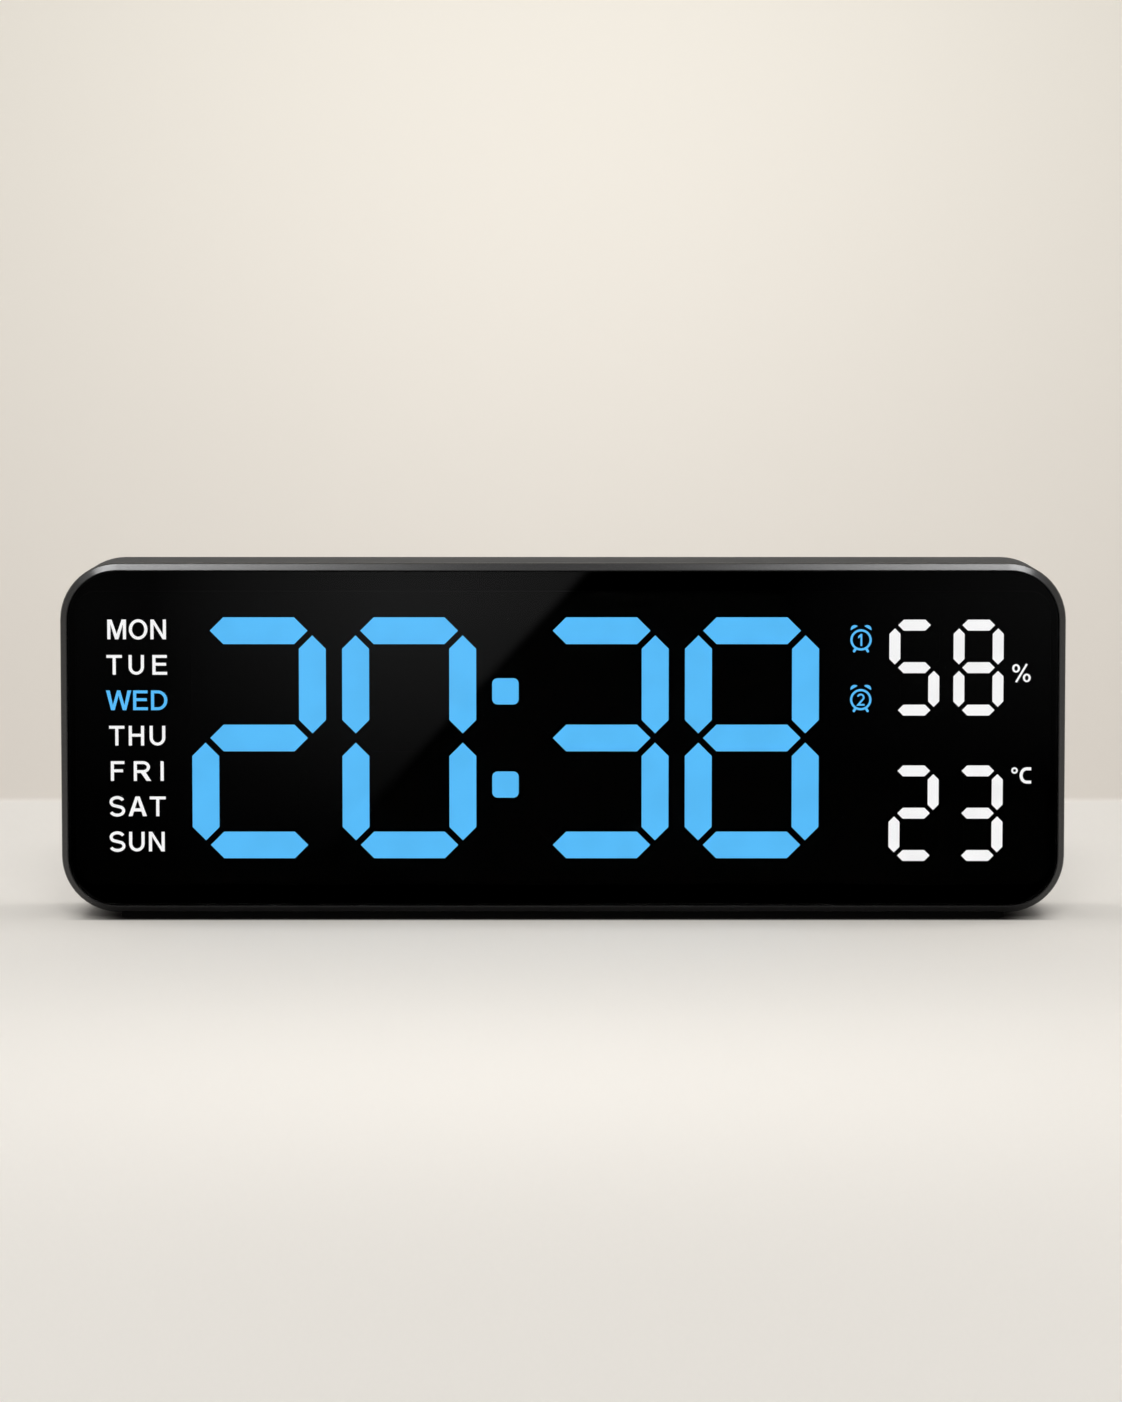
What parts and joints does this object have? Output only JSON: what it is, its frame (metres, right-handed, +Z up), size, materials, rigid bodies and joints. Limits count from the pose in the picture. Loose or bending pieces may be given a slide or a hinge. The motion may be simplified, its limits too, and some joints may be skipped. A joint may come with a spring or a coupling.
{
  "type": "digital wall clock",
  "caption": "Wide low LED clock with a rounded black case: weekdays, time, humidity and temperature behind one lens, swing-out feet and keyholes for the wall.",
  "frame": {"origin": "middle of the case on the table, under its strip and pads", "axes": "+X to the viewer's right along the width, +Y from the face to the back, +Z up"},
  "size_m": [0.315, 0.028, 0.1119],
  "materials": {
    "case_plastic": "fine satin",
    "lens": "polished",
    "tape": "matt",
    "film": "matt",
    "light_box": "moulded white",
    "segment_blue": "lit from behind",
    "segment_white": "lit from behind",
    "segment_dark": "smoked, not lit",
    "legend_bar": "milky",
    "board": "solder mask",
    "led": "clear resin",
    "component_black": "moulded",
    "aluminium": "drawn can",
    "steel": "plated",
    "key_plastic": "satin",
    "plunger": "moulded",
    "rubber": "matt"
  },
  "bodies": {
    "case": {"front_frame": "case_plastic", "rear_shell": "case_plastic", "lens_panel": "lens", "lens_tape": "tape", "face_film": "film", "light_box": "light_box", "hour_tens_segments": "segment_blue", "hour_units_segments": "segment_blue", "minute_tens_segments": "segment_blue", "minute_units_segments": "segment_blue", "colon_dots": "segment_blue", "humidity_tens_segments": "segment_white", "humidity_units_segments": "segment_white", "temperature_tens_segments": "segment_white", "temperature_units_segments": "segment_white", "time_dark_segments": "segment_dark", "climate_dark_segments": "segment_dark", "legend_bars": "legend_bar", "main_board": "board", "segment_leds": "led", "controller_chip": "component_black", "driver_chips": "component_black", "buzzer": "component_black", "climate_sensor": "component_black", "key_switches": "component_black", "inlet_tongue": "component_black", "supply_capacitors": "aluminium", "quartz_can": "steel", "inlet_shell": "steel", "backup_cell": "steel", "rim_contact": "steel", "base_contact": "steel", "left_foot_pin": "steel", "right_foot_pin": "steel", "case_screws": "steel", "board_screws": "steel", "base_pads": "rubber"},
    "left_foot": {"left_foot": "case_plastic", "left_foot_tip": "rubber"},
    "right_foot": {"right_foot": "case_plastic", "right_foot_tip": "rubber"},
    "cell_door": {"cell_door": "case_plastic"},
    "set_key": {"set_key": "key_plastic", "set_plunger": "plunger"},
    "up_key": {"up_key": "key_plastic", "up_plunger": "plunger"},
    "down_key": {"down_key": "key_plastic", "down_plunger": "plunger"},
    "alarm_key": {"alarm_key": "key_plastic", "alarm_plunger": "plunger"},
    "light_key": {"light_key": "key_plastic", "light_plunger": "plunger"}
  },
  "joints": [
    {"name": "left_foot_swing", "type": "hinge", "parent": "case", "child": "left_foot", "pos_m": [-0.112, 0.011, 0.008], "axis": [0, 0, 1], "range_deg": [0, 90]},
    {"name": "right_foot_swing", "type": "hinge", "parent": "case", "child": "right_foot", "pos_m": [0.112, 0.011, 0.008], "axis": [0, 0, -1], "range_deg": [0, 90]},
    {"name": "cell_door_swing", "type": "hinge", "parent": "case", "child": "cell_door", "pos_m": [-0.048, 0.012, 0.0401], "axis": [-1, 0, 0], "range_deg": [0, 90]},
    {"name": "set_key_press", "type": "slide", "parent": "case", "child": "set_key", "axis": [0, -1, 0], "range_m": [0, 0.0006], "stiffness_N_per_m": 800},
    {"name": "up_key_press", "type": "slide", "parent": "case", "child": "up_key", "axis": [0, -1, 0], "range_m": [0, 0.0006], "stiffness_N_per_m": 800},
    {"name": "down_key_press", "type": "slide", "parent": "case", "child": "down_key", "axis": [0, -1, 0], "range_m": [0, 0.0006], "stiffness_N_per_m": 800},
    {"name": "alarm_key_press", "type": "slide", "parent": "case", "child": "alarm_key", "axis": [0, -1, 0], "range_m": [0, 0.0006], "stiffness_N_per_m": 800},
    {"name": "light_key_press", "type": "slide", "parent": "case", "child": "light_key", "axis": [0, -1, 0], "range_m": [0, 0.0006], "stiffness_N_per_m": 800}
  ]
}
